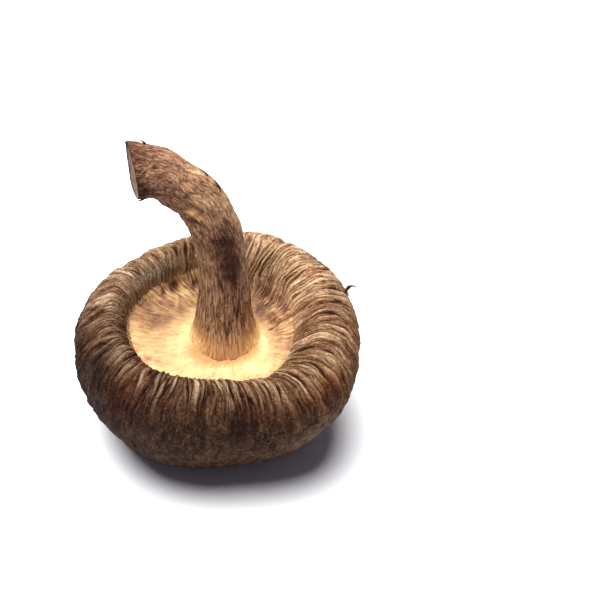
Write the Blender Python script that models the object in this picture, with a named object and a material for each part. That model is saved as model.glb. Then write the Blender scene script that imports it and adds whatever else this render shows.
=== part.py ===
"""Dried shiitake mushroom, resting on its crown with the gills and the stem up.

Metres, +Z up. The origin is the middle of the small flat spot that the crown rests on.
The camera side is -Y. The cap is a bowl with a thick rolled rim, the gills line the bowl,
and the stem stands up in it, leans back and bends over to the left.
"""
import math

import bmesh
import bpy
import numpy as np

MM = 0.001
SEED = 7

# Cap: half an outline from the rest spot, up the outside, over the rim and down to the lip
CAP_OUTLINE = [
    (6.5 * MM, 0.0 * MM),     # edge of the flat rest spot
    (15.2 * MM, 2.2 * MM),    # shoulder of the crown
    (18.9 * MM, 6.8 * MM),    # lower side
    (22.1 * MM, 14.0 * MM),   # widest ring
    (21.8 * MM, 20.8 * MM),   # upper side
    (17.4 * MM, 24.8 * MM),   # crest of the rolled rim
    (14.4 * MM, 23.3 * MM),   # inner wall of the rim
    (13.0 * MM, 20.6 * MM),   # lip, where the skin ends and the gills begin
]
WALL_RADIUS = 13.15 * MM      # flesh that the gills grow from, below the lip
WALL_TOP = 19.6 * MM
WALL_FOOT = 14.5 * MM
FLOOR_RADIUS = 12.2 * MM
FLOOR_HEIGHT = 13.8 * MM

# Cap: how it is out of round, leans and tilts. A wave is its count round the cap, size and phase
LOBES = [(2, 0.055, 0.0), (3, 0.0145, -2.14), (4, 0.017, -2.54), (5, 0.010, 2.63)]
RIM_WAVES = [(2, 0.42 * MM, 1.82), (3, 0.23 * MM, -0.44), (4, 0.44 * MM, -0.91)]
RIM_WAVES_RISE = 11.0 * MM            # they grow to full size over this height above the floor
LUMPS = [(7, 0.10 * MM, -0.7, 4.2), (11, 0.07 * MM, 0.4, 6.4)]     # the last number twists them
LEAN = (2.1 * MM, -0.95 * MM)         # sideways drift of the rim over the rest spot
LEAN_HEIGHT = 26.5 * MM
BOWL_SHIFT = (-1.45 * MM, 0.25 * MM)  # the bowl sits left of the middle, so the left rim is thinner
TILT = (-1.0, -3.5)                   # share of height lost per metre towards +X and +Y

# Skin wrinkles, measured along the outline: 0 is the rest spot and 1 the lip
WRINKLES = 108
WRINKLE_DEPTH = 0.62 * MM
SMOOTH_CROWN = 0.12                   # no wrinkles up to here
FULL_WRINKLES = 0.57                  # full depth from here on
LIP_FADE = (1.15, 0.3)                # they grow shallow towards the lip
BOWL_START = 0.57                     # the bowl's shift begins here and is whole at the lip
SWIRL = 0.10                          # turn of a wrinkle from the crown to the lip, in radians
SWAY = (0.02, 5, 9)                   # its sideways wave: size, count round the cap, pace along it

# Gills
GILLS = 84
GILL_RADIUS = 12.65 * MM
GILL_TOP_OUTER = 20.1 * MM
GILL_TOP_INNER = 17.2 * MM
GILL_SAG = 1.3                        # more than 1 makes the bowl of gills hollow
GILL_UNDERSIDE = 14.2 * MM
GILL_FOOT = 14.8 * MM
GILL_CREST = 0.85 * MM
GILL_SINK = 0.2 * MM                  # the folds' bottoms lie this far below the bowl's surface
GILL_HOLE = 6.35 * MM
GILL_SHARES = (0.0, 0.15, 0.38, 0.62, 0.84, 1.0)      # rows of points from the stem to the lip
SHORT_GILL = (0.25, 0.3)              # every other gill begins here and is whole so much further on
GILL_SWAY = (0.012, 7)

# Stem: points on the line through its middle, from the foot to the cut end, with the radius there
STEM_LINE = [
    (2.4 * MM, 1.3 * MM, 17.3 * MM, 6.0 * MM),
    (2.3 * MM, 1.9 * MM, 20.4 * MM, 4.75 * MM),
    (2.2 * MM, 3.0 * MM, 26.0 * MM, 4.1 * MM),
    (1.9 * MM, 4.0 * MM, 31.4 * MM, 3.95 * MM),
    (1.0 * MM, 5.1 * MM, 36.8 * MM, 3.9 * MM),
    (-1.7 * MM, 6.5 * MM, 42.1 * MM, 3.9 * MM),
    (-5.4 * MM, 7.6 * MM, 44.7 * MM, 3.95 * MM),
    (-8.4 * MM, 8.1 * MM, 46.4 * MM, 4.2 * MM),
    (-12.2 * MM, 8.1 * MM, 46.9 * MM, 4.7 * MM),
]
STEM_FURROWS = 18
FURROW_DEPTH = 0.42 * MM
FURROW_START = 5 * MM                  # full depth this far up the stem
STEM_TWIST = 0.25                      # turn of the furrows along the stem, in radians
STEM_BULGE = (0.035, 0.9, 260)         # out of round: size, phase, pace per metre
CUT_FACING = (-0.976, -0.216, -0.069)  # the way the cut end looks
CUT_TURN = 5.0 * MM                    # the last stretch turns into the plane of the cut
CUT_HOLLOW = 0.5 * MM
CUT_RIM = 0.8                          # share of the cut end that is hollow

# Colours of the dry surfaces, linear red, green and blue
CAP_COLOUR = (0.105, 0.055, 0.03)
GILL_COLOUR = (0.80, 0.60, 0.33)
STEM_COLOUR = (0.33, 0.16, 0.075)


def spline(points, steps):
    """Smooth curve through the points, with so many steps from one point to the next."""
    points = np.array(points, dtype=float)
    before = 2 * points[0] - points[1]
    after = 2 * points[-1] - points[-2]
    padded = np.vstack([before, points, after])
    t = np.linspace(0, 1, steps, endpoint=False)[:, None]
    pieces = []
    for a, b, c, d in zip(padded, padded[1:], padded[2:], padded[3:]):
        curve = 2 * b + (c - a) * t + (2 * a - 5 * b + 4 * c - d) * t**2
        pieces.append(0.5 * (curve + (3 * b - a - 3 * c + d) * t**3))
    return np.concatenate(pieces + [points[-1:]])


def tilt(x, y):
    """Share of its height that a point of the cap keeps, at a place over the floor."""
    return 1 - TILT[0] * x - TILT[1] * y


def cap_ring(radius, height, angle, bowl):
    """Ring of points at a radius and height of the cap; bowl is 1 inside the rim and 0 outside."""
    around = 1 + sum(size * np.cos(n * angle - phase) for n, size, phase in LOBES)
    wave = sum(size * np.cos(n * angle - phase) for n, size, phase in RIM_WAVES)
    rise = np.clip((height - FLOOR_HEIGHT) / RIM_WAVES_RISE, 0, 1)
    lean = height / LEAN_HEIGHT
    x = radius * around * np.cos(angle) + LEAN[0] * lean + BOWL_SHIFT[0] * bowl
    y = radius * around * np.sin(angle) + LEAN[1] * lean + BOWL_SHIFT[1] * bowl
    return np.stack([x, y, height * tilt(x, y) + wave * rise], axis=-1)


def loft(name, rings, colour, roughness, closed=False, first=None, last=None):
    """Object skinned over rings of equally many points, closed by a fan at each end or on itself."""
    bm = bmesh.new()
    loops = [[bm.verts.new(point) for point in ring] for ring in rings]
    pairs = list(zip(loops, loops[1:] + loops[:1])) if closed else list(zip(loops, loops[1:]))
    for low, high in pairs:
        for i in range(len(low)):
            j = (i + 1) % len(low)
            bm.faces.new((low[i], low[j], high[j]))
            bm.faces.new((low[i], high[j], high[i]))
    for centre, loop in ((first, loops[0][::-1]), (last, loops[-1])):
        if centre is not None:
            hub = bm.verts.new(centre)
            for i, vert in enumerate(loop):
                bm.faces.new((vert, loop[(i + 1) % len(loop)], hub))
    bmesh.ops.recalc_face_normals(bm, faces=bm.faces)
    mesh = bpy.data.meshes.new(name)
    bm.to_mesh(mesh)
    bm.free()
    mesh.shade_smooth()
    mesh.materials.append(surface(name, colour, roughness))
    thing = bpy.data.objects.new(name, mesh)
    bpy.context.scene.collection.objects.link(thing)
    return thing


def surface(name, colour, roughness):
    """Plain material in one colour."""
    material = bpy.data.materials.new(name)
    material.use_nodes = True
    shader = material.node_tree.nodes["Principled BSDF"]
    shader.inputs["Base Color"].default_value = (*colour, 1)
    shader.inputs["Roughness"].default_value = roughness
    shader.inputs["Metallic"].default_value = 0
    return material


def ridges(count, lengthwise, rng):
    """Depth from 0 on a ridge to 1 in a groove, ridge and groove in turn, each fading in and out."""
    columns = 2 * count
    groove = np.arange(columns) % 2
    size = rng.uniform(0.5, 1.0, columns) * groove + rng.uniform(0.0, 0.25, columns) * (1 - groove)
    phase = rng.uniform(0, 2 * math.pi, columns)
    pace = rng.uniform(5, 11, columns)
    fade = 0.78 + 0.22 * np.sin(phase + pace * lengthwise[:, None])
    return size * fade


def build_cap():
    """Cap: wrinkled skin from the rest spot over the rim to the lip, then the wall and floor inside."""
    outline = spline(CAP_OUTLINE, 2)
    along = np.linspace(0, 1, len(outline))
    heading = np.gradient(outline, axis=0)
    outward = np.stack([heading[:, 1], -heading[:, 0]], axis=-1)
    outward /= np.linalg.norm(outward, axis=1, keepdims=True)
    bowl = np.clip((along - BOWL_START) / (1 - BOWL_START), 0, 1)

    columns = np.linspace(0, 2 * math.pi, 2 * WRINKLES, endpoint=False)
    grooves = ridges(WRINKLES, along, np.random.default_rng(SEED))
    strength = np.clip((along - SMOOTH_CROWN) / (FULL_WRINKLES - SMOOTH_CROWN), 0, 1)
    strength *= np.clip((LIP_FADE[0] - along) / LIP_FADE[1], 0, 1)

    rings = []
    for (radius, height), out, share, depth, groove, inside in zip(
            outline, outward, along, strength, grooves, bowl):
        size, count, pace = SWAY
        angle = columns + SWIRL * share + size * np.sin(count * columns + pace * share)
        lump = sum(size * np.sin(n * angle + phase + pace * share) for n, size, phase, pace in LUMPS)
        push = (lump - WRINKLE_DEPTH * groove) * depth
        rings.append(cap_ring(radius + out[0] * push, height + out[1] * push, angle, inside))
    for radius, height in ((WALL_RADIUS, WALL_TOP), (WALL_RADIUS, WALL_FOOT), (FLOOR_RADIUS, FLOOR_HEIGHT)):
        rings.append(cap_ring(radius, height, columns, 1))
    middle = rings[-1].mean(axis=0)
    middle[2] = FLOOR_HEIGHT * tilt(middle[0], middle[1])
    return loft("cap", rings, CAP_COLOUR, 0.85, first=(0, 0, 0), last=middle)


def build_gills():
    """Gills: a thick ring with sharp radial folds on top, every other fold short, round the stem's foot."""
    fold = 3                              # columns of points: one on the crest, two in the gap
    columns = GILLS * fold
    angle = np.linspace(0, 2 * math.pi, columns, endpoint=False)
    crest = np.arange(columns) % fold == 0
    short = np.arange(columns) // fold % 2 == 1
    rng = np.random.default_rng(SEED + 1)
    size = np.repeat(rng.uniform(0.75, 1.0, GILLS), fold) * crest
    phase = np.repeat(rng.uniform(0, 2 * math.pi, GILLS), fold)

    def hole(height):
        """Ring round the stem's foot at a height."""
        x = STEM_LINE[0][0] + GILL_HOLE * np.cos(angle)
        y = STEM_LINE[0][1] + GILL_HOLE * np.sin(angle)
        return np.stack([x, y, height * tilt(x, y)], axis=-1)

    rings = []
    for share in GILL_SHARES:
        height = GILL_TOP_INNER + (GILL_TOP_OUTER - GILL_TOP_INNER) * share**GILL_SAG
        turn = angle + GILL_SWAY[0] * np.sin(phase + GILL_SWAY[1] * share)
        points = hole(height) * (1 - share) + cap_ring(GILL_RADIUS, height, turn, 1) * share
        whole = np.where(short, np.clip((share - SHORT_GILL[0]) / SHORT_GILL[1], 0, 1), 1)
        swell = 0.4 + 0.6 * math.sin(math.pi * share)
        points[:, 2] += GILL_CREST * swell * whole * size - GILL_SINK
        rings.append(points)
    rings.append(cap_ring(GILL_RADIUS, GILL_FOOT, angle, 1))
    rings.append(cap_ring(FLOOR_RADIUS - GILL_SINK, GILL_UNDERSIDE, angle, 1))
    rings.append(hole(GILL_UNDERSIDE))
    return loft("gills", rings, GILL_COLOUR, 0.75, closed=True)


def build_stem():
    """Stem: furrowed round stalk along its line, flared at the foot, hollowed a little at the cut end."""
    curve = spline(STEM_LINE, 3)
    line = curve[:, :3]
    radius = curve[:, 3:]
    length = np.concatenate([[0], np.cumsum(np.linalg.norm(np.diff(line, axis=0), axis=1))])[:, None]
    share = length / length[-1]

    heading = np.gradient(line, axis=0)
    heading[0] = (0, 0, 1)
    heading /= np.linalg.norm(heading, axis=1, keepdims=True)
    turn = np.clip(1 - (length[-1] - length) / CUT_TURN, 0, 1)
    heading = heading * (1 - turn) + np.array(CUT_FACING) * turn
    heading /= np.linalg.norm(heading, axis=1, keepdims=True)
    side = np.cross((0, 1, 0), heading)
    side /= np.linalg.norm(side, axis=1, keepdims=True)
    back = np.cross(heading, side)

    columns = np.linspace(0, 2 * math.pi, 2 * STEM_FURROWS, endpoint=False)
    grooves = ridges(STEM_FURROWS, share[:, 0], np.random.default_rng(SEED + 2))
    strength = np.clip(length / FURROW_START, 0, 1)
    size, phase, pace = STEM_BULGE
    bulge = 1 + size * np.sin(2 * columns + phase + pace * length) * strength
    reach = radius * bulge - FURROW_DEPTH * grooves * strength
    angle = columns + STEM_TWIST * share
    across = np.cos(angle)[..., None] * side[:, None] + np.sin(angle)[..., None] * back[:, None]
    rings = list(line[:, None] + across * reach[..., None])

    foot = rings[0].copy()
    foot[:, 2] = GILL_UNDERSIDE * tilt(foot[:, 0], foot[:, 1])
    foot_middle = foot.mean(axis=0)
    sunk = line[-1] - heading[-1] * CUT_HOLLOW
    hollow = sunk + (rings[-1] - line[-1]) * CUT_RIM
    return loft("stem", [foot] + rings + [hollow], STEM_COLOUR, 0.8, first=foot_middle, last=sunk)


def main():
    """Clear the scene and build the mushroom's three bodies."""
    for thing in list(bpy.data.objects):
        bpy.data.objects.remove(thing, do_unlink=True)
    build_cap()
    build_gills()
    build_stem()


main()
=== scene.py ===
"""Looks of a dried shiitake mushroom that lies on its crown, gills and stem up.

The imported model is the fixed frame. Three dense skins stand for its cap, gills and stem, and a few
small pieces that only a close look shows are added. Shapes are worked out in millimetres and turned
into metres when their mesh is made.
"""
from __future__ import annotations

import itertools
import logging
import math
from dataclasses import dataclass, field
from enum import Enum
from typing import Any, Sequence

import bpy
import numpy as np
from mathutils import Matrix, Vector


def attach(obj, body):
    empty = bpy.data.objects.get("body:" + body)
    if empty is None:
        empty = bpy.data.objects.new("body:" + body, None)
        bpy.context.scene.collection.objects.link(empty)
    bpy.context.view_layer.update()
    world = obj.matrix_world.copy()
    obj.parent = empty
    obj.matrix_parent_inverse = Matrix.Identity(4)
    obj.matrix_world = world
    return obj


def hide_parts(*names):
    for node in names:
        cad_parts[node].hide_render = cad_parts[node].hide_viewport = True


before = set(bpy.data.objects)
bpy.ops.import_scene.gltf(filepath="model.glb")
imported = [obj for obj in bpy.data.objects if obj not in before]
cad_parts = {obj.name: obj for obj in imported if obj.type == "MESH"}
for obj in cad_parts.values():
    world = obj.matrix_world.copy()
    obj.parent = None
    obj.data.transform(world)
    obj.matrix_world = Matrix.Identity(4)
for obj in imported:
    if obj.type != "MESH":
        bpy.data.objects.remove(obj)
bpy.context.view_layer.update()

LOG = logging.getLogger("mushroom")
MM = 0.001
TURN = 2 * math.pi
BODY = "root"
Array = np.ndarray


# Numbers and noise

def smooth(start: float, end: float, value: Array) -> Array:
    """Smooth step from 0 at start to 1 at end.

    Args:
        start: value where the step begins.
        end: value where it is whole.
        value: numbers to turn into shares.

    Returns:
        Shares from 0 to 1, with a level start and end.
    """
    share = np.clip((value - start) / (end - start), 0, 1)
    return share * share * (3 - 2 * share)


def spline(points: Sequence[Sequence[float]], at: Array) -> Array:
    """Catmull-Rom curve: it passes through each point, heading along its neighbours' chord.

    Args:
        points: the curve's own points.
        at: places on it, from 0 at the first point to the number of points less one.

    Returns:
        One point for each place.
    """
    own = np.array(points, dtype=float)
    padded = np.vstack([2 * own[0] - own[1], own, 2 * own[-1] - own[-2]])
    span = np.clip(np.floor(at).astype(int), 0, len(own) - 2)
    t = (at - span)[:, None]
    a, b, c, d = (padded[span + k] for k in range(4))
    curve = 2 * b + (c - a) * t + (2 * a - 5 * b + 4 * c - d) * t**2
    return 0.5 * (curve + (3 * b - a - 3 * c + d) * t**3)


def perlin(points: Array, seed: int) -> Array:
    """Gradient noise: random slopes at whole-numbered corners, blended smoothly between them.

    Args:
        points: places, with x, y and z last.
        seed: draws the slopes.

    Returns:
        Values from about -1 to 1, zero at the corners.
    """
    rng = np.random.default_rng(seed)
    order = rng.permutation(256)
    slopes = rng.normal(size=(256, 3))
    slopes /= np.linalg.norm(slopes, axis=1, keepdims=True)
    cell = np.floor(points).astype(int)
    inside = points - cell
    fade = inside**3 * (inside * (inside * 6 - 15) + 10)
    total = np.zeros(points.shape[:-1])
    for corner in itertools.product((0, 1), repeat=3):
        key = (cell + corner) & 255
        pick = order[(order[(order[key[..., 0]] + key[..., 1]) & 255] + key[..., 2]) & 255]
        weight = np.where(corner, fade, 1 - fade).prod(axis=-1)
        total += weight * (slopes[pick] * (inside - corner)).sum(axis=-1)
    return total * 1.6


def toward(angle: Array, middle: float, spread: float) -> Array:
    """Bell curve round a circle.

    Args:
        angle: the way round.
        middle: angle of the top, in radians.
        spread: how wide it is, in radians.

    Returns:
        1 at the middle, falling to 0 away from it.
    """
    return np.exp((np.cos(angle - middle) - 1) / (0.5 * spread**2))


def cylinder(radius: float, angle: Array, length: Array) -> Array:
    """Places on a round tube, so that noise read there has no seam.

    Args:
        radius: of the tube.
        angle: the way round.
        length: the way along.

    Returns:
        Points with x, y and z last.
    """
    sides = (radius * np.cos(angle), radius * np.sin(angle))
    return np.stack(np.broadcast_arrays(*sides, length), axis=-1)


def pillows(value: Array, bend: float = 0.35) -> Array:
    """Rounded cushions with sharp creases between them, where noise passes through zero.

    Args:
        value: the noise.
        bend: value of the noise at which a cushion is at its full height.

    Returns:
        0 in a crease, 1 on a cushion.
    """
    return np.sqrt(np.minimum(np.abs(value) / bend, 1))


def linear(colour: str) -> tuple[float, float, float, float]:
    """Linear red, green, blue and alpha of an sRGB hex colour."""
    parts = [int(colour[i:i + 2], 16) / 255 for i in (1, 3, 5)]
    return (*[p / 12.92 if p <= 0.04045 else ((p + 0.055) / 1.055) ** 2.4 for p in parts], 1.0)


def per_mm(size: float) -> float:
    """Noise scale that makes its cells this many millimetres wide, on coordinates in metres."""
    return 1 / (size * MM)


# Meshes

@dataclass
class Skin:
    """A grid of points in millimetres, rows by columns, that closes on itself round the columns.

    Its faces point along the cross product of the way round and the way along the rows.
    """

    points: Array
    marks: dict[str, Array] = field(default_factory=dict)

    def normals(self) -> Array:
        """Unit normals: the way round times the way along."""
        along = np.gradient(self.points, axis=0)
        around = np.roll(self.points, -1, axis=1) - np.roll(self.points, 1, axis=1)
        normal = np.cross(around, along)
        return normal / np.maximum(np.linalg.norm(normal, axis=-1, keepdims=True), 1e-12)

    def raised(self, height: Array) -> "Skin":
        """The same grid moved along its normals by a height in millimetres."""
        return Skin(self.points + self.normals() * height[..., None], self.marks)

    def build(self, name: str, ring: bool = False) -> bpy.types.Object:
        """Make the closed mesh object.

        Args:
            name: the object's name.
            ring: join the last row to the first, instead of closing each end at a pole.

        Returns:
            The object, at the origin, with each mark as a point attribute.
        """
        rows, columns = self.points.shape[:2]
        number = np.arange(rows * columns).reshape(rows, columns)
        low = number if ring else number[:-1]
        high = np.roll(number, -1, axis=0) if ring else number[1:]
        beside = (np.roll(low, -1, axis=1), np.roll(high, -1, axis=1))
        faces = np.stack([low, beside[0], beside[1], high], axis=-1).reshape(-1, 4).tolist()
        points = self.points.reshape(-1, 3)
        if not ring:
            poles = np.array([self.points[0].mean(axis=0), self.points[-1].mean(axis=0)])
            points = np.concatenate([points, poles])
            first, last = number[0], number[-1]
            start, end = rows * columns, rows * columns + 1
            faces += np.stack([np.roll(first, -1), first, np.full(columns, start)], axis=-1).tolist()
            faces += np.stack([last, np.roll(last, -1), np.full(columns, end)], axis=-1).tolist()
        mesh = bpy.data.meshes.new(name)
        mesh.from_pydata((points * MM).tolist(), [], faces)
        for mark, values in self.marks.items():
            vector = values.ndim == 3
            flat = values.reshape(-1, 3) if vector else values.reshape(-1)
            if not ring:
                flat = np.concatenate([flat, values[:1].mean(axis=1), values[-1:].mean(axis=1)])
            layer = mesh.attributes.new(mark, "FLOAT_VECTOR" if vector else "FLOAT", "POINT")
            layer.data.foreach_set("vector" if vector else "value", flat.astype(np.float32).ravel())
        mesh.shade_smooth()
        mesh.update()
        piece = bpy.data.objects.new(name, mesh)
        bpy.context.scene.collection.objects.link(piece)
        return piece


def blades(name: str, paths: Array, width: Array, tip: Array, marks: dict[str, float], rows: int = 7,
           sides: int = 6, flat: float = 0.45) -> bpy.types.Object:
    """Small torn strips in one mesh: an oval carried along a bent path, getting narrower.

    Args:
        name: the object's name.
        paths: for each strip its start, the point it bends towards and its end, in millimetres.
        width: of each strip at its start.
        tip: width at its end as a share of that.
        marks: values that the finish reads, the same all over.
        rows: ovals along a strip.
        sides: points round an oval.
        flat: thickness as a share of the width.

    Returns:
        The object, at the origin, each strip closed.
    """
    t = np.linspace(0, 1, rows)[None, :, None]
    start, bend, end = (paths[:, None, k] for k in range(3))
    middle = (1 - t) ** 2 * start + 2 * t * (1 - t) * bend + t**2 * end
    heading = np.gradient(middle, axis=1)
    side = np.cross(heading, end - start + (0.3, -0.2, 0.9))
    side /= np.linalg.norm(side, axis=-1, keepdims=True)
    back = np.cross(side, heading)
    back /= np.linalg.norm(back, axis=-1, keepdims=True)
    half = 0.5 * width[:, None, None, None] * (1 - (1 - tip[:, None, None, None]) * t[..., None] ** 1.6)
    turn = np.linspace(0, TURN, sides, endpoint=False)[None, None, :, None]
    oval = np.cos(turn) * side[:, :, None] + flat * np.sin(turn) * back[:, :, None]
    points = middle[:, :, None] + half * oval
    number = np.arange(points[..., 0].size).reshape(points.shape[:3])
    low, high = number[:, :-1], number[:, 1:]
    faces = np.stack([low, np.roll(low, -1, axis=2), np.roll(high, -1, axis=2), high], axis=-1)
    faces = faces.reshape(-1, 4).tolist() + number[:, 0, ::-1].tolist() + number[:, -1].tolist()
    mesh = bpy.data.meshes.new(name)
    mesh.from_pydata((points.reshape(-1, 3) * MM).tolist(), [], faces)
    flow = mesh.attributes.new("flow", "FLOAT_VECTOR", "POINT")
    flow.data.foreach_set("vector", (points * MM).astype(np.float32).ravel())
    for mark, value in marks.items():
        layer = mesh.attributes.new(mark, "FLOAT", "POINT")
        layer.data.foreach_set("value", np.full(number.size, value, dtype=np.float32))
    mesh.shade_smooth()
    mesh.update()
    piece = bpy.data.objects.new(name, mesh)
    bpy.context.scene.collection.objects.link(piece)
    return piece


def place(piece: bpy.types.Object, finish: bpy.types.Material, nodes: Sequence[str] = ()) -> None:
    """Args:
        piece: the finished object.
        finish: its material.
        nodes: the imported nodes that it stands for.
    """
    piece.data.materials.append(finish)
    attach(piece, BODY)
    if nodes:
        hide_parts(*nodes)
    LOG.info("%s: %d points, %d faces", piece.name, len(piece.data.vertices), len(piece.data.polygons))


# Materials

def add(tree: bpy.types.NodeTree, kind: str, inputs: dict[Any, Any] | None = None,
        **settings: Any) -> bpy.types.Node:
    """Add a shader node.

    Args:
        tree: the material's node tree.
        kind: Blender's name for the node's type.
        inputs: by input name or number, a value to set or an output to link.
        settings: the node's own properties.

    Returns:
        The new node.
    """
    made = tree.nodes.new(kind)
    for key, value in settings.items():
        setattr(made, key, value)
    for key, value in (inputs or {}).items():
        if isinstance(value, bpy.types.NodeSocket):
            tree.links.new(value, made.inputs[key])
        else:
            made.inputs[key].default_value = value
    return made


def fill_ramp(ramp: bpy.types.Node, stops: Sequence[tuple[float, str]]) -> bpy.types.NodeSocket:
    """Set a colour ramp's stops, each a place from 0 to 1 and a hex colour, and return its colour."""
    elements = ramp.color_ramp.elements
    while len(elements) < len(stops):
        elements.new(1.0)
    for element, (position, colour) in zip(elements, stops):
        element.position = position
        element.color = linear(colour)
    return ramp.outputs["Color"]


@dataclass(frozen=True)
class Finish:
    """A dry natural surface: common settings and the parts that its materials share."""

    name: str
    roughness: float
    ior: float = 1.45

    def start(self) -> tuple[bpy.types.Material, bpy.types.NodeTree, bpy.types.Node]:
        """New material, its empty tree and its main shader."""
        material = bpy.data.materials.new(self.name)
        material.use_nodes = True
        tree = material.node_tree
        shader = tree.nodes["Principled BSDF"]
        shader.inputs["Roughness"].default_value = self.roughness
        shader.inputs["IOR"].default_value = self.ior
        return material, tree, shader

    @staticmethod
    def mark(tree: bpy.types.NodeTree, name: str, vector: bool = False) -> bpy.types.NodeSocket:
        """Output of one of the mesh's point attributes."""
        return add(tree, "ShaderNodeAttribute", attribute_name=name).outputs["Vector" if vector else "Fac"]

    @staticmethod
    def noise(tree: bpy.types.NodeTree, vector: bpy.types.NodeSocket, size: float, stretch: float,
              detail: float = 4.0) -> bpy.types.NodeSocket:
        """Noise in cells of a size in millimetres, drawn out by stretch along the flow's third axis."""
        drawn = add(tree, "ShaderNodeMapping", {"Vector": vector, "Scale": (1, 1, 1 / stretch)})
        texture = add(tree, "ShaderNodeTexNoise", {"Vector": drawn.outputs[0], "Scale": per_mm(size),
                                                   "Detail": detail, "Roughness": 0.6})
        return texture.outputs["Fac"]

    @classmethod
    def cracks(cls, tree: bpy.types.NodeTree, vector: bpy.types.NodeSocket, size: float, stretch: float,
               width: float, detail: float = 1.0) -> bpy.types.NodeSocket:
        """Thin branching lines where the noise crosses its middle value: 1 on a line, 0 beside it."""
        value = cls.noise(tree, vector, size, stretch, detail)
        away = add(tree, "ShaderNodeMath", {0: value, 1: 0.5}, operation="SUBTRACT")
        distance = add(tree, "ShaderNodeMath", {0: away.outputs[0]}, operation="ABSOLUTE")
        return cls.fit(tree, distance.outputs[0], 0.0, width, 1.0, 0.0)

    @classmethod
    def wrinkles(cls, tree: bpy.types.NodeTree, widths: Sequence[float]) -> list[bpy.types.NodeSocket]:
        """Grooves and humps of the waves that the mesh carries in its "waves" attribute.

        Args:
            tree: the material's node tree.
            widths: value of each wave at which its groove ends.

        Returns:
            For each wave its groove, 1 where the wave passes through zero and 0 beside it, then its
            hump, 1 where the wave is far from zero. The "breaks" attribute closes a groove.
        """
        wave = add(tree, "ShaderNodeSeparateXYZ", {0: cls.mark(tree, "waves", vector=True)})
        gap = add(tree, "ShaderNodeSeparateXYZ", {0: cls.mark(tree, "breaks", vector=True)})
        found = []
        for axis, width in enumerate(widths):
            away = add(tree, "ShaderNodeMath", {0: wave.outputs[axis]}, operation="ABSOLUTE").outputs[0]
            lifted = add(tree, "ShaderNodeMath", {0: away, 1: gap.outputs[axis]}, operation="ADD").outputs[0]
            found += [cls.fit(tree, lifted, 0.0, width, 1.0, 0.0), cls.fit(tree, away, 0.06, 0.42)]
        return found

    @staticmethod
    def wavy(tree: bpy.types.NodeTree, vector: bpy.types.NodeSocket, size: float,
             sway: float) -> bpy.types.NodeSocket:
        """Pattern space swayed by soft noise: cells and sway in millimetres."""
        texture = add(tree, "ShaderNodeTexNoise", {"Vector": vector, "Scale": per_mm(size), "Detail": 2.0})
        centred = add(tree, "ShaderNodeVectorMath", {0: texture.outputs["Color"], 1: (0.5, 0.5, 0.5)},
                      operation="SUBTRACT")
        moved = add(tree, "ShaderNodeVectorMath", {0: centred.outputs[0], 1: (2 * sway * MM,) * 3, 2: vector},
                    operation="MULTIPLY_ADD")
        return moved.outputs[0]

    @staticmethod
    def weigh(tree: bpy.types.NodeTree, start: Any, parts: Sequence[tuple[Any, Any]]) -> bpy.types.NodeSocket:
        """Sum of a starting value and of each part times its weight."""
        total = start
        for value, weight in parts:
            inputs = {0: value, 1: weight, 2: total}
            total = add(tree, "ShaderNodeMath", inputs, operation="MULTIPLY_ADD").outputs[0]
        return total

    @staticmethod
    def mix(tree: bpy.types.NodeTree, share: Any, first: Any, second: Any,
            blend: str = "MIX") -> bpy.types.NodeSocket:
        """Blend two colours by a share; a colour may be a hex string or an output."""
        colours = [linear(c) if isinstance(c, str) else c for c in (first, second)]
        made = add(tree, "ShaderNodeMix", {0: share, 6: colours[0], 7: colours[1]},
                   data_type="RGBA", blend_type=blend)
        return made.outputs[2]

    @staticmethod
    def fit(tree: bpy.types.NodeTree, value: Any, low: float, high: float, to_low: float = 0.0,
            to_high: float = 1.0) -> bpy.types.NodeSocket:
        """Stretch a value's range to another, held at both ends."""
        made = add(tree, "ShaderNodeMapRange", {"Value": value, "From Min": low, "From Max": high,
                                                "To Min": to_low, "To Max": to_high})
        return made.outputs["Result"]

    @staticmethod
    def times(tree: bpy.types.NodeTree, first: Any, second: Any) -> bpy.types.NodeSocket:
        """Product of two values."""
        return add(tree, "ShaderNodeMath", {0: first, 1: second}, operation="MULTIPLY").outputs[0]


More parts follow.
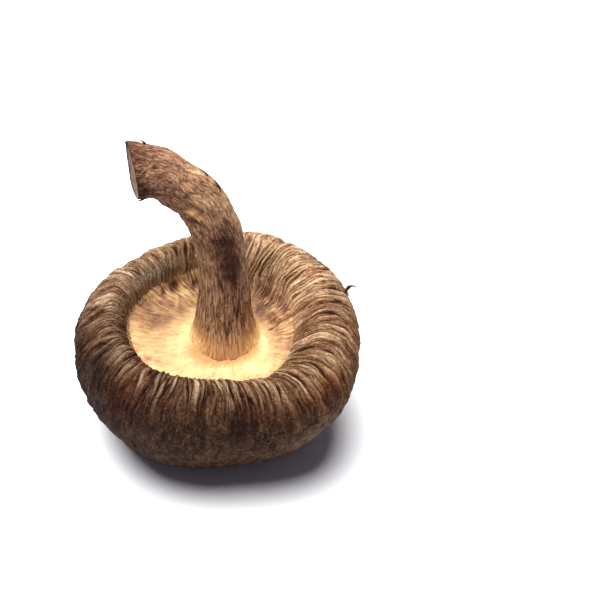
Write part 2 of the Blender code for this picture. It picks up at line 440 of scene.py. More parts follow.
@dataclass(frozen=True)
class DriedSkin(Finish):
    """Shiitake cap skin, air dried: leathery, matt, dark in its creases and tan on its ridges, partly its own
    colour and partly painted shade in the creases and painted highlight on the ridges.
    """

    tones: tuple[tuple[float, str], ...] = (
        (0.0, "#241008"), (0.15, "#351B10"), (0.27, "#4A2B17"), (0.41, "#65442B"), (0.55, "#7C5D42"),
        (0.68, "#957758"), (0.82, "#B69775"), (1.0, "#DDC09C"))
    inner: tuple[tuple[float, str], ...] = (
        (0.0, "#3A2418"), (0.35, "#6E4E3A"), (0.6, "#997459"), (0.8, "#BC9474"), (1.0, "#DCB68F"))
    rust: str = "#E0AE98"
    cool: str = "#BBC6DC"
    olive: str = "#DCD8BC"

    def material(self) -> bpy.types.Material:
        """Build the node tree and return the material."""
        material, tree, shader = self.start()
        flow = self.mark(tree, "flow", vector=True)
        low, contrast = self.mark(tree, "low"), self.mark(tree, "contrast")
        main, ridge, second, strand, net, _ = self.wrinkles(tree, (0.13, 0.13, 0.12))
        wavy = self.wavy(tree, flow, 1.8, 0.5)
        streaks = self.noise(tree, wavy, 0.24, 3.6)
        patches = self.noise(tree, wavy, 1.3, 1.6, 3)
        grain = self.noise(tree, flow, 0.15, 1.6, 2)
        tint = self.noise(tree, flow, 2.6, 1.6, 3)
        long_cracks = self.cracks(tree, wavy, 0.4, 9, 0.055)
        short_cracks = self.cracks(tree, wavy, 0.75, 1.3, 0.05, 3)
        nodules = self.fit(tree, self.noise(tree, wavy, 0.36, 1.5, 2), 0.4, 0.6)
        upper = self.fit(tree, low, 0, 1, 1, 0)
        broken = self.fit(tree, patches, 0.38, 0.54)
        lined = self.times(tree, self.times(tree, long_cracks, upper), broken)
        netted = self.times(tree, short_cracks, self.fit(tree, low, 0, 1, 0.2, 1))
        blotchy = self.times(tree, self.weigh(tree, -0.5, [(patches, 1.0)]),
                             self.fit(tree, low, 0, 1, 0.25, 0.7))
        # Ridges lighter and grooves darker: partly the skin's own colour, partly painted highlight on the
        # ridges and painted shade in the grooves.
        pleats_tint_and_shade = self.weigh(tree, -0.1, [(ridge, 0.24), (strand, 0.14), (main, -0.3), (second, -0.17)])
        tone = self.weigh(tree, self.mark(tree, "tone"), [
            (streaks, 0.36), (grain, 0.3), (nodules, 0.13), (1.0, -0.38), (blotchy, 1.0),
            (self.times(tree, pleats_tint_and_shade, contrast), 1.0), (net, -0.15), (lined, -0.18), (netted, -0.15)])
        base = fill_ramp(add(tree, "ShaderNodeValToRGB", {"Fac": tone}), self.tones)
        inner = fill_ramp(add(tree, "ShaderNodeValToRGB", {"Fac": tone}), self.inner)
        base = self.mix(tree, self.mark(tree, "inner"), base, inner)
        rusts = self.weigh(tree, self.mark(tree, "rust"), [(self.fit(tree, tint, 0.5, 0.66), 0.35)])
        rusty = self.mix(tree, rusts, base, self.rust, "MULTIPLY")
        mossy = self.mix(tree, self.fit(tree, tint, 0.48, 0.34, 0.0, 0.65), rusty, self.olive, "MULTIPLY")
        cooled = self.mix(tree, self.mark(tree, "cool"), mossy, self.cool, "MULTIPLY")
        tree.links.new(cooled, shader.inputs["Base Color"])
        shader.inputs["Specular IOR Level"].default_value = 0.12
        height = self.weigh(tree, 0.0, [(streaks, 0.6), (grain, 0.35), (nodules, 0.45), (lined, -0.5),
                                        (netted, -0.5), (main, -0.5), (second, -0.4)])
        bump = add(tree, "ShaderNodeBump", {"Height": height, "Strength": 0.8, "Distance": 0.2 * MM})
        tree.links.new(bump.outputs[0], shader.inputs["Normal"])
        return material


@dataclass(frozen=True)
class DriedGills(Finish):
    """Shiitake gill tissue, air dried: thin, papery, cream, letting a little light through."""

    reach: tuple[tuple[float, str], ...] = (
        (0.0, "#D4C693"), (0.15, "#CEB884"), (0.3, "#CAAA79"), (0.45, "#BF996B"), (0.6, "#A9825C"),
        (0.8, "#87644C"), (1.0, "#5C4234"))
    gap: str = "#8E6038"
    stain: str = "#BE8855"

    def material(self) -> bpy.types.Material:
        """Build the node tree and return the material."""
        material, tree, shader = self.start()
        flow = self.mark(tree, "flow", vector=True)
        gill_gap_shade, contrast = self.mark(tree, "gill_gap_shade"), self.mark(tree, "contrast")
        main, ridge, second, strand = self.wrinkles(tree, (0.16, 0.16))
        wavy = self.wavy(tree, flow, 1.5, 0.4)
        streaks = self.noise(tree, wavy, 0.24, 7)
        clouds = self.noise(tree, wavy, 1.4, 0.75, 3)
        mottle = self.noise(tree, wavy, 0.7, 0.6, 4)
        outward = self.mark(tree, "outward")
        nicks = self.cracks(tree, wavy, 0.5, 4, 0.06)
        # Ridges lighter and grooves darker near the lip: partly the tissue's own colour, partly painted
        # highlight and painted shade.
        pleats_tint_and_shade = self.weigh(tree, 0.1, [(ridge, -0.24), (strand, -0.12), (main, 0.18), (second, 0.1)])
        # The gaps between the gill edges are darkened a little: painted shade.
        reach = self.weigh(tree, self.mark(tree, "reach"), [
            (self.times(tree, self.weigh(tree, -0.5, [(streaks, 1.0)]), outward), -0.12),
            (self.times(tree, self.weigh(tree, -0.5, [(mottle, 1.0)]), outward), 0.3),
            (clouds, 0.7), (1.0, -0.35), (self.times(tree, gill_gap_shade, outward), 0.05),
            (self.times(tree, pleats_tint_and_shade, contrast), 1.0)])
        base = fill_ramp(add(tree, "ShaderNodeValToRGB", {"Fac": reach}), self.reach)
        worn = self.times(tree, nicks, self.fit(tree, clouds, 0.45, 0.6))
        browner = self.fit(tree, self.mark(tree, "reach"), 0.1, 0.5, 0.0, 0.8)
        gaps = self.mix(tree, self.times(tree, worn, self.times(tree, browner, outward)), base, self.gap)
        stained = self.weigh(tree, self.mark(tree, "stain"), [(streaks, 0.9), (1.0, -0.45)])
        footed = self.mix(tree, self.fit(tree, stained, 0.12, 0.8), gaps, self.stain)
        tree.links.new(footed, shader.inputs["Base Color"])
        shader.inputs["Specular IOR Level"].default_value = 0.2
        shader.inputs["Subsurface Weight"].default_value = 0.15
        shader.inputs["Subsurface Radius"].default_value = (1.0, 0.62, 0.32)
        shader.inputs["Subsurface Scale"].default_value = 0.8 * MM
        height = self.times(tree, self.weigh(tree, 0.0, [(streaks, 0.15), (mottle, 0.5)]), outward)
        bump = add(tree, "ShaderNodeBump", {"Height": height, "Strength": 0.8, "Distance": 0.2 * MM})
        tree.links.new(bump.outputs[0], shader.inputs["Normal"])
        return material


@dataclass(frozen=True)
class DriedStem(Finish):
    """Shiitake stem, air dried: woody, fibrous, brown, cream where it meets the gills."""

    tones: tuple[tuple[float, str], ...] = (
        (0.0, "#2C1710"), (0.2, "#42281A"), (0.38, "#644330"), (0.54, "#8C674F"), (0.68, "#AB8360"),
        (0.84, "#CAA985"), (1.0, "#EBD2AE"))
    warm: str = "#B68457"
    foot: str = "#E6C184"
    scar: str = "#DDAA6C"
    cut_pith: str = "#D8BCA6"
    cut_rim: str = "#3A2A22"

    def material(self) -> bpy.types.Material:
        """Build the node tree and return the material."""
        material, tree, shader = self.start()
        flow = self.mark(tree, "flow", vector=True)
        main, ridge, second, strand = self.wrinkles(tree, (0.17, 0.17))
        wavy = self.wavy(tree, flow, 1.6, 0.2)
        flaky = self.mark(tree, "flaky")
        fibres = self.noise(tree, wavy, 0.18, 11)
        flakes = self.noise(tree, wavy, 0.25, 2.8, 4)
        streaks = self.weigh(tree, fibres, [(self.weigh(tree, flakes, [(fibres, -1.0)]), flaky)])
        patches = self.noise(tree, wavy, 1.0, 1.6, 3)
        grain = self.noise(tree, flow, 0.15, 1.4, 2)
        long_cracks = self.cracks(tree, wavy, 0.42, 9, 0.06, 1)
        short_cracks = self.cracks(tree, wavy, 0.5, 1.9, 0.05, 4)
        cracks = self.weigh(tree, long_cracks, [
            (self.weigh(tree, short_cracks, [(long_cracks, -1.0)]), flaky)])
        # Ridges lighter and furrows darker: partly the stem's own colour, partly painted highlight on the
        # ridges and painted shade in the furrows.
        tone = self.weigh(tree, self.mark(tree, "tone"), [
            (streaks, 0.42), (patches, 0.42), (grain, 0.22), (1.0, -0.54), (ridge, 0.12), (strand, 0.08),
            (self.times(tree, main, self.fit(tree, flaky, 0, 1, 0.16, 0.04)), -1.0), (second, -0.07),
            (self.times(tree, cracks, self.fit(tree, flaky, 0, 1, 0.29, 0.11)), -1.0)])
        base = fill_ramp(add(tree, "ShaderNodeValToRGB", {"Fac": tone}), self.tones)
        fading = self.weigh(tree, self.mark(tree, "foot"), [(streaks, 1.2), (grain, 0.5), (1.0, -0.85)])
        warmed = self.mix(tree, self.fit(tree, fading, 0.1, 0.65, 0, 0.7), base, self.warm)
        footed = self.mix(tree, self.fit(tree, fading, 0.7, 1.1), warmed, self.foot)
        scarred = self.mix(tree, self.mark(tree, "scar"), footed, self.scar)
        pale = self.weigh(tree, self.mark(tree, "pith"), [(grain, 1.0), (1.0, -0.5)])
        pith = self.mix(tree, pale, self.cut_rim, self.cut_pith)
        ended = self.mix(tree, self.mark(tree, "cut"), scarred, pith)
        tree.links.new(ended, shader.inputs["Base Color"])
        shader.inputs["Specular IOR Level"].default_value = 0.15
        height = self.weigh(tree, 0.0, [(streaks, 0.6), (patches, 0.3), (cracks, -0.5)])
        bump = add(tree, "ShaderNodeBump", {"Height": height, "Strength": 0.9, "Distance": 0.2 * MM})
        tree.links.new(bump.outputs[0], shader.inputs["Normal"])
        return material


@dataclass(frozen=True)
class TableTop(Finish):
    """White laminate under the mushroom, satin and spotless."""

    colour: str = "#F8F8FA"

    def material(self) -> bpy.types.Material:
        """Build the plain material and return it."""
        material, _, shader = self.start()
        shader.inputs["Base Color"].default_value = linear(self.colour)
        return material


# The mushroom

class Mark(Enum):
    """What a blot changes on the surface it lies on."""

    TONE = "tone"
    RUST = "rust"
    COOL = "cool"
    REACH = "reach"
    PIT = "pit"
    SCAR = "scar"


@dataclass(frozen=True)
class Blot:
    """Soft spot of other colour, for a stain and also for painted light or shade: its middle and half sizes
    in millimetres, and how much it adds.
    """

    mark: Mark
    centre: tuple[float, float, float]
    size: tuple[float, float, float]
    amount: float

    def weight(self, points: Array, ragged: float = 0.5) -> Array:
        """Amount at each point: a bell curve of the distance, with a ragged edge."""
        offset = ((points - self.centre) / self.size) ** 2
        rough = ragged * perlin(points / 1.3, 5)
        return self.amount * np.exp(-np.maximum(offset.sum(axis=-1) + rough, 0))


def blotted(blots: Sequence[Blot], mark: Mark, points: Array) -> Array:
    """Sum of the blots that change one mark."""
    return sum((b.weight(points) for b in blots if b.mark is mark), np.zeros(points.shape[:-1]))


@dataclass
class Cap:
    """The cap: skin from the rest spot up the outside, over the rolled rim and down to the lip.

    The outline is radius and height. A ring is drawn out of round by lobes, leans with its height,
    and its height waves and tilts. Lengths are millimetres and angles radians.
    """

    outline: tuple[tuple[float, float], ...] = (
        (6.5, 0.0), (15.2, 2.2), (18.9, 6.8), (22.1, 14.0), (21.8, 20.8), (17.4, 24.8), (14.4, 23.3),
        (13.0, 20.6))
    steps: tuple[int, ...] = (11, 10, 15, 14, 15, 10, 8)
    inside: tuple[tuple[float, float], ...] = (
        (13.05, 20.1), (13.15, 19.4), (13.15, 14.5), (12.2, 13.8), (6.0, 13.8))
    columns: int = 1080
    lobes: tuple[tuple[int, float, float], ...] = (
        (2, 0.055, 0.0), (3, 0.0145, -2.14), (4, 0.017, -2.54), (5, 0.010, 2.63))
    rim_waves: tuple[tuple[int, float, float], ...] = ((2, 0.42, 1.82), (3, 0.23, -0.44), (4, 0.44, -0.91))
    waves_start: float = 13.8
    waves_rise: float = 11.0
    lean: tuple[float, float] = (2.1, -0.95)
    lean_height: float = 26.5
    bowl_shift: tuple[float, float] = (-1.45, 0.25)
    bowl_start: float = 0.57
    tilt: tuple[float, float] = (-0.001, -0.0035)
    flow_radius: float = 20.0
    open_side: float = 0.87
    front_side: float = 1.5 * math.pi
    rest_spot: tuple[tuple[float, float], ...] = ((1.5, 0.0), (3.2, 0.0), (5.0, 0.0))
    seed: int = 11
    tone_waves: tuple[tuple[int, float, float], ...] = ((1, 0.14, 0.79), (2, 0.03, -2.16))
    tone_bells: tuple[tuple[float, float, float], ...] = (
        (0.04, 2.25, 0.35), (0.15, 2.8, 0.5), (-0.11, 5.15, 0.7), (0.08, 0.5, 0.35), (0.01, 1.0, 0.3),
        (-0.07, 6.1, 0.45))
    blots: tuple[Blot, ...] = (
        Blot(Mark.TONE, (4.1, -20.5, 18.6), (2.2, 2.5, 3.2), -0.2),
        Blot(Mark.TONE, (-17.0, -10.5, 21.2), (2.4, 2.2, 2.6), -0.18),
        Blot(Mark.TONE, (-18.5, -14.0, 18.0), (2.5, 2.5, 3.0), -0.05),
        Blot(Mark.TONE, (-16.6, 1.2, 24.4), (1.5, 2.0, 1.6), 0.13),
        # Lighter low on the right outside: painted light bounced from the floor.
        Blot(Mark.TONE, (16.0, -17.0, 12.0), (4.5, 4.0, 5.0), 0.2),
        Blot(Mark.TONE, (9.5, -19.0, 14.5), (3.5, 3.0, 3.0), -0.08),
        Blot(Mark.TONE, (-4.0, 14.0, 25.8), (2.0, 2.5, 2.2), -0.17),
        Blot(Mark.RUST, (-14.6, -15.3, 19.4), (3.6, 3.2, 4.0), 0.9),
        Blot(Mark.RUST, (18.9, -14.0, 21.0), (2.6, 2.6, 3.0), 0.7),
        Blot(Mark.RUST, (3.0, -19.8, 19.0), (8.0, 2.5, 3.0), 0.15),
        Blot(Mark.TONE, (18.5, -14.5, 20.6), (2.4, 2.4, 2.6), -0.13),
        Blot(Mark.COOL, (-9.0, 9.5, 23.2), (4.0, 3.4, 1.6), 0.7),
        Blot(Mark.COOL, (-17.5, -10.0, 21.0), (3.4, 3.0, 3.0), 0.5),
    )

    def level(self, x: Array, y: Array) -> Array:
        """Share of its height that a point keeps at a place, because the cap is tilted."""
        return 1 - self.tilt[0] * x - self.tilt[1] * y

    def ring(self, radius: Array, height: Array, angle: Array, bowl: Array) -> Array:
        """Points of the cap: a lobed circle, leaned and shifted, at a waved and tilted height.

        Args:
            radius: distance from the cap's axis.
            height: height before waves and tilt.
            angle: way round, from +X towards +Y.
            bowl: 1 inside the rim and 0 outside.

        Returns:
            Points with x, y and z last.
        """
        lobed = 1 + sum(size * np.cos(n * angle - phase) for n, size, phase in self.lobes)
        wave = sum(size * np.cos(n * angle - phase) for n, size, phase in self.rim_waves)
        rise = np.clip((height - self.waves_start) / self.waves_rise, 0, 1)
        lean = height / self.lean_height
        x = radius * lobed * np.cos(angle) + self.lean[0] * lean + self.bowl_shift[0] * bowl
        y = radius * lobed * np.sin(angle) + self.lean[1] * lean + self.bowl_shift[1] * bowl
        return np.stack([x, y, height * self.level(x, y) + wave * rise], axis=-1)

    def skin(self) -> Skin:
        """Smooth skin with its wrinkles raised, and the marks that its finish reads.

        Wrinkles are thin lines of noise drawn out along the outline: a coarse set, a finer set
        between them and hairlines, with a net of short lines on the lower side instead.
        """
        radius, height, share, run = self.profile()
        angle = np.linspace(0, TURN, self.columns, endpoint=False)[None, :] + 0 * radius
        bowl = np.clip((share - self.bowl_start) / (1 - self.bowl_start), 0, 1)
        base = Skin(self.ring(radius, height, angle, bowl))

        flow = self.wrinkled(angle, run, share)
        broken = smooth(-0.3, 0.35, perlin(flow / (1.7, 1.7, 4.5), self.seed + 6))
        kept = smooth(-0.45, 0.2, perlin(flow / (1.3, 1.3, 3.0), self.seed + 7))
        coarse, fine = self.waves(flow, angle)
        net = perlin(flow / (1.2, 1.2, 1.4), self.seed + 4)
        swell = perlin(flow / (2.4, 2.4, 5.0), self.seed + 5)

        front = self.front(angle)
        behind = toward(angle, 2.45, 0.8)
        rim = smooth(0.33 + 0.17 * front, 0.63 + 0.01 * front, share) * (1 - 0.5 * smooth(0.92, 1.0, share))
        rim = rim * (1 - 0.45 * behind * smooth(0.74, 0.9, share))
        side = smooth(0.08, 0.25, share) * (1 - smooth(0.5, 0.66, share))
        ended = (share < 1) + (height > 20.3) * (share >= 1) * 0.3
        wide = (pillows(coarse) - 0.75) * (0.35 + 0.65 * broken)
        slim = (pillows(fine) - 0.75) * (0.4 + 0.6 * kept)
        cushions = 0.32 * wide + 0.15 * slim + 0.2 * (smooth(0.08, 0.5, np.abs(coarse)) - 0.4)
        lumps = 0.25 * perlin(flow / (2.2, 2.2, 2.6), self.seed + 9) + 0.26 * (pillows(net) - 0.75)
        relief = (cushions + 0.2 * swell) * rim + (lumps + 0.3 * cushions - 0.1) * side
        relief *= ended * smooth(0.02, 0.12, share)

        turn_in = 0.5 - 0.1 * np.cos(angle - 0.7) + 0.055 * self.front(angle, 0.9)
        upper = smooth(-0.13, 0.13, (share - turn_in) / (1 - 0.45 * front))
        tone = 0.468 + sum(size * np.cos(n * angle - phase) for n, size, phase in self.tone_waves)
        tone += sum(size * toward(angle, middle, spread) for size, middle, spread in self.tone_bells)
        tone = tone * upper + (0.3 + 0.09 * np.cos(angle + 0.35)) * (1 - upper)
        tone += 0.05 * perlin(flow / (4.5, 4.5, 5.0), self.seed + 10)
        # Lighter near the lip on the right wall: painted light on a wall in the lamp's shade.
        tone += 0.1 * smooth(0.86, 0.97, share) * toward(angle, 0.0, 0.6)
        tone += (0.04 * smooth(0.6, 0.7, share) - 0.12 * (1 - smooth(0.56, 0.66, share)) * upper) * front
        # Lighter near the lip at the back left: painted light on the wall in the lamp's shade.
        tone += 0.07 * behind * smooth(0.7, 0.85, share)
        far = smooth(0.2, 0.7, np.cos(angle - self.open_side))
        ragged = share + 0.035 * perlin(flow / (0.7, 0.7, 1.5), self.seed + 12)
        inner = np.maximum(far * smooth(0.84, 0.97, ragged), 0.8 * behind * smooth(0.88, 0.98, ragged))
        inner = np.maximum(inner, 0.6 * smooth(0.965, 0.995, ragged) * (1 - front))
        bare = 1 - smooth(0.25, 0.5, share)
        under = 1 - smooth(0.05, 0.3, share)
        # How strongly ridges are lightened and grooves darkened, partly painted highlight and painted shade.
        contrast = 0.3 + (0.7 + 0.1 * toward(angle, 0.4, 0.9)) * upper
        contrast += 0.7 * front * smooth(0.6, 0.68, share)
        contrast *= 1 - 0.6 * behind * smooth(0.72, 0.88, share)
        contrast *= 1 - 0.45 * front * smooth(0.68, 0.58, share)
        breaks = [0.4 * (1 - broken) + 0.2 * bare, 0.4 * (1 - kept) + 0.3 * bare, 1 - side + 0 * net]
        rust = 0.15 * toward(angle, 0.4, 0.8) * upper
        cool = 0.9 * (1 - upper) + 0.3 * under
        cool += (0.5 * toward(angle, 3.3, 0.9) + 0.5 * front) * upper
        base.marks = {
            "flow": flow * MM,
            "tone": tone + blotted(self.blots, Mark.TONE, base.points),
            "waves": np.stack([coarse, fine, net], axis=-1),
            "breaks": np.stack(breaks, axis=-1),
            "contrast": contrast,
            "rust": np.clip(rust + blotted(self.blots, Mark.RUST, base.points), 0, 1),
            "cool": np.clip(cool + blotted(self.blots, Mark.COOL, base.points), 0, 1),
            "low": 1 - upper,
            "inner": inner,
        }
        return base.raised(relief)

    def front(self, angle: Array, spread: float = 1.1) -> Array:
        """Bell curve round the side that faces the camera."""
        return toward(angle, self.front_side, spread)

    def profile(self) -> tuple[Array, Array, Array, Array]:
        """Radius, height, share of the outline and length along it, from the crown's middle."""
        at = [np.arange(n) / n + span for span, n in enumerate(self.steps)]
        at = np.concatenate(at + [[len(self.steps)]])
        rows = [np.array(self.rest_spot), spline(self.outline, at), np.array(self.inside)]
        radius, height = np.concatenate(rows).T[:, :, None]
        before, after = np.zeros(len(self.rest_spot)), np.ones(len(self.inside))
        share = np.concatenate([before, at / len(self.steps), after])[:, None]
        step = np.hypot(np.diff(radius, axis=0), np.diff(height, axis=0))
        return radius, height, share, np.concatenate([[[0.0]], np.cumsum(step, axis=0)])

    def wrinkled(self, angle: Array, run: Array, share: Array) -> Array:
        """Pattern space of the wrinkles, swayed so that they run a little askew."""
        flow = self.flow(angle, run)
        front = self.front(angle)
        sway = (0.05 - 0.018 * front) * perlin(flow / (4.0, 4.0, 6.0), self.seed)
        sway += (0.018 - 0.004 * front) * perlin(flow / (1.6, 1.6, 2.2), self.seed + 8)
        return self.flow(angle + sway + 0.06 * share, run)

    def waves(self, flow: Array, angle: Array) -> tuple[Array, Array]:
        """Waves of the coarse and the fine wrinkles: long narrow cells of noise, shorter at the front."""
        front = self.front(angle)
        coarse = perlin(flow / (0.85, 0.85, 11.0), self.seed + 1) * (1 - 0.15 * front)
        coarse += 0.22 * front * perlin(flow / (0.9, 0.9, 3.6), self.seed + 13)
        return coarse, perlin(flow / (0.5, 0.5, 5.0), self.seed + 2)

    def flow(self, angle: Array, run: Array) -> Array:
        """Seamless pattern space: the way round on a cylinder, and the length along the outline."""
        return cylinder(self.flow_radius, angle, run)

    def make(self, finish: bpy.types.Material) -> None:
        """Build the cap, dress it and let it stand for its node."""
        place(self.skin().build("cap_skin"), finish, ["cap"])


@dataclass
class Stem:
    """The stem: a furrowed stalk carried along the line through its middle, with a cut end."""

    line: tuple[tuple[float, float, float, float], ...] = (
        (2.4, 1.3, 17.3, 6.0), (2.3, 1.9, 20.4, 4.75), (2.2, 3.0, 26.0, 4.1), (1.9, 4.0, 31.4, 3.95),
        (1.0, 5.1, 36.8, 3.9), (-1.7, 6.5, 42.1, 3.9), (-5.4, 7.6, 44.7, 3.95), (-8.4, 8.1, 46.4, 4.2),
        (-12.2, 8.1, 46.9, 4.7))
    foot: tuple[tuple[float, float], ...] = ((14.4, 6.0), (16.6, 6.6), (17.1, 6.3))
    rows: int = 236
    columns: int = 360
    cut_facing: tuple[float, float, float] = (-0.976, -0.216, -0.069)
    cut_turn: float = 5.0
    cut_swell: tuple[float, float, float] = (0.22, 2.8, 0.6)
    cut_rows: tuple[float, ...] = (0.985, 0.96, 0.93, 0.88, 0.8, 0.7, 0.6, 0.48, 0.36, 0.24, 0.12)
    twist: float = 0.25
    bulge: tuple[float, float, float] = (0.035, 0.9, 0.26)
    flow_radius: float = 4.1
    seed: int = 31
    # Tone along the stem; the drop over the last rows before the cut is painted shade beside the cut face.
    tone_at: tuple[float, ...] = (0.0, 0.08, 0.2, 0.42, 0.6, 0.85, 0.945, 0.965, 0.985, 1.0)
    tone_of: tuple[float, ...] = (0.6, 0.53, 0.52, 0.53, 0.48, 0.42, 0.41, 0.3, 0.27, 0.2)
    blots: tuple[Blot, ...] = (
        # Darker down the stem below the bend: partly the stem's own dark patch, partly painted shadow under
        # the bend's overhang.
        Blot(Mark.TONE, (2.6, 2.0, 38.2), (1.9, 2.0, 2.6), -0.31),
        Blot(Mark.TONE, (3.1, 0.9, 34.8), (2.0, 2.0, 3.2), -0.33),
        Blot(Mark.TONE, (3.6, 0.1, 31.2), (1.8, 1.9, 3.4), -0.23),
        Blot(Mark.TONE, (0.0, 1.3, 37.3), (2.0, 1.2, 1.6), -0.15),
        # Thin lighter strips along the right edge: painted highlight.
        Blot(Mark.TONE, (5.2, 1.8, 31.6), (0.5, 0.8, 3.6), 0.16),
        Blot(Mark.TONE, (4.4, 2.9, 36.8), (0.5, 0.8, 2.4), 0.12),
        Blot(Mark.TONE, (-2.7, 2.85, 41.0), (0.9, 0.9, 0.35), -0.45),
        Blot(Mark.SCAR, (-2.9, 3.0, 42.6), (0.7, 1.0, 0.42), 0.95),
        Blot(Mark.SCAR, (-1.7, 2.6, 41.8), (0.6, 0.8, 0.34), 0.85),
        # Darker under the stem near the cut: painted shade.
        Blot(Mark.TONE, (-10.8, 3.5, 46.3), (1.9, 1.1, 1.6), -0.3),
        # Lighter along the upper and right edges of the bend: painted highlight.
        Blot(Mark.TONE, (-2.3, 7.3, 47.6), (2.8, 0.9, 1.2), 0.16),
        Blot(Mark.TONE, (2.2, 5.5, 43.4), (0.8, 1.5, 2.4), 0.15),
        # Darker under the bend, and on the lamp-lit top of the tip: painted shade.
        Blot(Mark.TONE, (-4.8, 3.8, 45.9), (2.4, 1.2, 1.0), -0.12),
        Blot(Mark.TONE, (-9.6, 7.4, 50.6), (3.4, 2.6, 1.6), -0.15),
        # Lighter along the right edge low on the stem: painted highlight.
        Blot(Mark.TONE, (5.8, 1.2, 26.0), (0.7, 1.0, 4.0), 0.14),
    )

    def make(self, finish: bpy.types.Material) -> None:
        """Build the stem, dress it and let it stand for its node."""
        place(self.skin().build("stem_stalk"), finish, ["stem"])

    def skin(self) -> Skin:
        """Stalk with its furrows raised.

        A row is a circle across the line, out of round by a wave, and the last rows turn into the
        plane of the cut. Furrows are lines of noise drawn out along the stem.
        """
        at = np.linspace(0, len(self.line) - 1, self.rows)
        curve = spline(self.line, at)
        middle, radius = curve[:, :3], curve[:, 3:]
        length = np.concatenate([[0], np.cumsum(np.linalg.norm(np.diff(middle, axis=0), axis=1))])[:, None]
        share = length / length[-1]
        heading = np.gradient(middle, axis=0)
        heading /= np.linalg.norm(heading, axis=1, keepdims=True)
        level = 1 - smooth(0, 3.0, length)
        heading = heading * (1 - level) + np.array([0, 0, 1]) * level
        turn = np.clip(1 - (length[-1] - length) / self.cut_turn, 0, 1)
        heading = heading * (1 - turn) + np.array(self.cut_facing) * turn
        heading /= np.linalg.norm(heading, axis=1, keepdims=True)
        side = np.cross((0, 1, 0), heading)
        side /= np.linalg.norm(side, axis=1, keepdims=True)
        back = np.cross(heading, side)

        angle = np.linspace(0, TURN, self.columns, endpoint=False)[None, :] + self.twist * share
        size, phase, pace = self.bulge
        strength = np.clip(length / 5, 0, 1)
        out_of_round = 1 + size * np.sin(2 * angle + phase + pace * length) * strength
        across = np.cos(angle)[..., None] * side[:, None] + np.sin(angle)[..., None] * back[:, None]
        tube = middle[:, None] + across * (radius * out_of_round)[..., None]
        swell, where, wide = self.cut_swell
        tube += heading[:, None] * (swell * toward(angle, where, wide) * smooth(0.94, 1.0, share))[..., None]

        flow = cylinder(self.flow_radius, angle, length)
        sway = perlin(flow / (2.5, 2.5, 6.0), self.seed) * (0.035 + 0.14 * smooth(0.35, 0.6, share))
        flow = cylinder(self.flow_radius, angle + sway, length)
        flaky = smooth(0.3, 0.5, share) + 0 * angle
        coarse = perlin(flow / (0.6, 0.6, 8.0), self.seed + 1) * (1 - flaky)
        coarse += perlin(flow / (0.62, 0.62, 2.6), self.seed + 8) * flaky
        fine = perlin(flow / (0.36, 0.36, 4.5), self.seed + 2) * (1 - flaky)
        fine += perlin(flow / (0.36, 0.36, 1.2), self.seed + 9) * flaky
        broken = smooth(-0.4, 0.3, perlin(flow / (1.5, 1.5, 3.0), self.seed + 5))
        swell = perlin(flow / (2.0, 2.0, 3.6), self.seed + 3)
        flakes = perlin(flow / (0.9, 0.9, 1.3), self.seed + 4) * smooth(0.3, 0.6, share)
        wide = (pillows(coarse) - 0.8) * (0.4 + 0.6 * broken)
        slim = pillows(fine) - 0.8
        relief = (0.2 - 0.08 * flaky) * wide + (0.12 - 0.04 * flaky) * slim + 0.2 * swell + 0.13 * flakes
        relief *= smooth(0.0, 4.0, length)
        stalk = Skin(tube).raised(relief)

        foot = [self.foot_ring(z, r, angle[0]) for z, r in self.foot]
        end = self.cut_face(stalk.points[-1], middle[-1], heading[-1])
        points = np.concatenate([np.array(foot), stalk.points, end])
        before, after = len(foot), len(end)
        rings = np.array(self.cut_rows)[:, None]

        def pad(values: Array, cut: float = 1.0) -> Array:
            """Repeat the first and last rows of a mark for the foot and the cut face."""
            values = values + 0 * angle if values.ndim == 2 else values
            return np.concatenate([values[:1].repeat(before, 0), values, values[-1:].repeat(after, 0) * cut])

        # On the bent part, lighter on the upper side and darker beneath: painted light and shade.
        tone = np.interp(share, self.tone_at, self.tone_of) + 0.1 * np.cos(angle) * smooth(0.4, 0.65, share)
        tone = tone + blotted(self.blots, Mark.TONE, stalk.points)
        cut = np.zeros_like(share)
        near = smooth(0.1, 0.8, -rings * np.sin(angle[-1:])) * smooth(0.9, 0.5, np.cos(angle[-1:]))
        marks = {
            "flow": pad(flow * MM),
            "tone": pad(tone),
            "waves": pad(np.stack([coarse, fine, fine], axis=-1)),
            "breaks": pad(np.stack([0.4 * (1 - broken), 0 * fine, 0 * fine], -1)),
            "foot": pad(self.foot_fade(angle, length)),
            "flaky": pad(flaky),
            "scar": pad(np.clip(blotted(self.blots, Mark.SCAR, stalk.points), 0, 1), 0.0),
            "cut": np.concatenate([pad(cut)[:-after], np.ones((after, self.columns))]),
            "pith": np.concatenate([pad(cut)[:-after], 0.3 * smooth(0.97, 0.88, rings)
                                    + 0.4 * near * smooth(1.0, 0.97, rings)]),
        }
        marks["flow"][-after:] = end * MM
        return Skin(points, marks)

    def foot_fade(self, angle: Array, length: Array) -> Array:
        """Share of the gills' cream in the foot: it climbs higher on the two sides."""
        aside = np.abs(np.cos(angle)) ** 1.5
        return (0.54 + 0.52 * aside) * (1 - smooth(0.6, 4.2 + 1.6 * aside, length))

    def foot_ring(self, height: float, radius: float, angle: Array) -> Array:
        """Level ring round the foot's middle."""
        x = self.line[0][0] + radius * np.cos(angle)
        y = self.line[0][1] + radius * np.sin(angle)
        return np.stack([-x + 2 * self.line[0][0], y, height + 0 * x], axis=-1)

    def cut_face(self, edge: Array, middle: Array, facing: Array) -> Array:
        """Rings of the cut face, from its edge to near its middle, dished and a little rough."""
        shares = np.array(self.cut_rows)[:, None, None]
        rings = middle + (edge - middle) * shares
        rough = 0.16 * perlin(rings / 0.9, self.seed + 6) + 0.08 * perlin(rings / 0.35, self.seed + 7)
        dish = 0.45 * smooth(0.97, 0.8, shares[..., 0]) - 0.12 * smooth(0.9, 1.0, shares[..., 0])
        return rings - facing * (dish + rough * smooth(1.0, 0.85, shares[..., 0]))[..., None]


